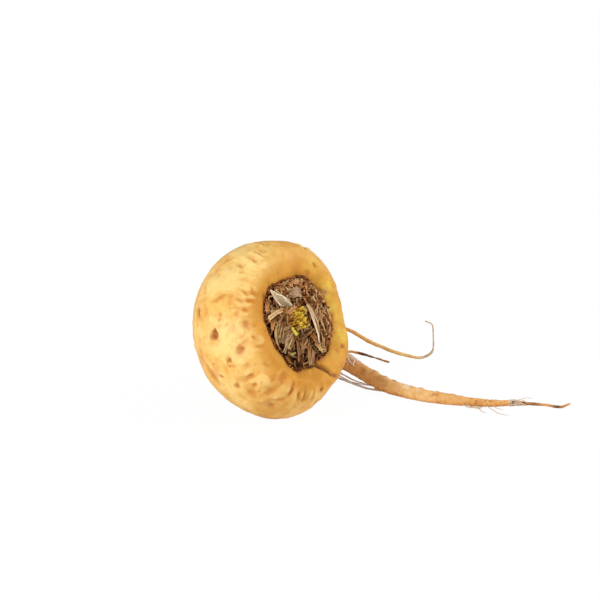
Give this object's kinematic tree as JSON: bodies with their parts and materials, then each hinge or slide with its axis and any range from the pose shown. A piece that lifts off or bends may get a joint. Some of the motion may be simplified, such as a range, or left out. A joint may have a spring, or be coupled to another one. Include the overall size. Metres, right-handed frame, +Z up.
{
  "type": "maca root",
  "caption": "Fresh maca root: a round flattened body lying on its side, a sunken crown of dry leaf bases round a bud, and a long thin taproot sweeping along the surface.",
  "frame": {"origin": "centre of the face that the body rests on, on the surface below it", "axes": "+Z up from the surface, +X along the way the taproot runs out, -Y the side that the crown faces with a turn towards +X"},
  "size_m": [0.1072, 0.0647, 0.0481],
  "materials": {
    "root_skin": "thin smooth root skin with a soft sheen, golden orange with brown pits",
    "dry_stalk": "dry fibrous leaf stalk, cream to pale brown, matt",
    "outer_sheath": "dry papery leaf sheath, dark reddish brown, matt",
    "middle_sheath": "dry papery leaf sheath, grey brown, matt",
    "inner_sheath": "dry papery leaf sheath, light brown, matt",
    "bud_sheath": "half dry leaf base, yellow brown, matt",
    "bud_scale": "young leaf scale, golden, soft sheen",
    "bud": "young bud tissue, yellow green, soft sheen"
  },
  "bodies": {
    "root": {"root": "root_skin", "cut_stalk": "dry_stalk", "strap": "dry_stalk", "stub_01": "dry_stalk", "stub_02": "dry_stalk", "stub_03": "dry_stalk", "stub_04": "dry_stalk", "outer_sheath_01": "outer_sheath", "outer_sheath_02": "outer_sheath", "outer_sheath_03": "outer_sheath", "outer_sheath_04": "outer_sheath", "outer_sheath_05": "outer_sheath", "outer_sheath_06": "outer_sheath", "outer_sheath_07": "outer_sheath", "outer_sheath_08": "outer_sheath", "outer_sheath_09": "outer_sheath", "outer_sheath_10": "outer_sheath", "outer_sheath_11": "outer_sheath", "middle_sheath_01": "middle_sheath", "middle_sheath_02": "middle_sheath", "middle_sheath_03": "middle_sheath", "middle_sheath_04": "middle_sheath", "middle_sheath_05": "middle_sheath", "middle_sheath_06": "middle_sheath", "middle_sheath_07": "middle_sheath", "middle_sheath_08": "middle_sheath", "middle_sheath_09": "middle_sheath", "middle_sheath_10": "middle_sheath", "inner_sheath_01": "inner_sheath", "inner_sheath_02": "inner_sheath", "inner_sheath_03": "inner_sheath", "inner_sheath_04": "inner_sheath", "inner_sheath_05": "inner_sheath", "inner_sheath_06": "inner_sheath", "inner_sheath_07": "inner_sheath", "inner_sheath_08": "inner_sheath", "bud_sheath_01": "bud_sheath", "bud_sheath_02": "bud_sheath", "bud_sheath_03": "bud_sheath", "bud_sheath_04": "bud_sheath", "bud_sheath_05": "bud_sheath", "bud_sheath_06": "bud_sheath", "bud_scale_01": "bud_scale", "bud_scale_02": "bud_scale", "bud_scale_03": "bud_scale", "bud_scale_04": "bud_scale", "bud_scale_05": "bud_scale", "bud": "bud"}
  },
  "joints": []
}
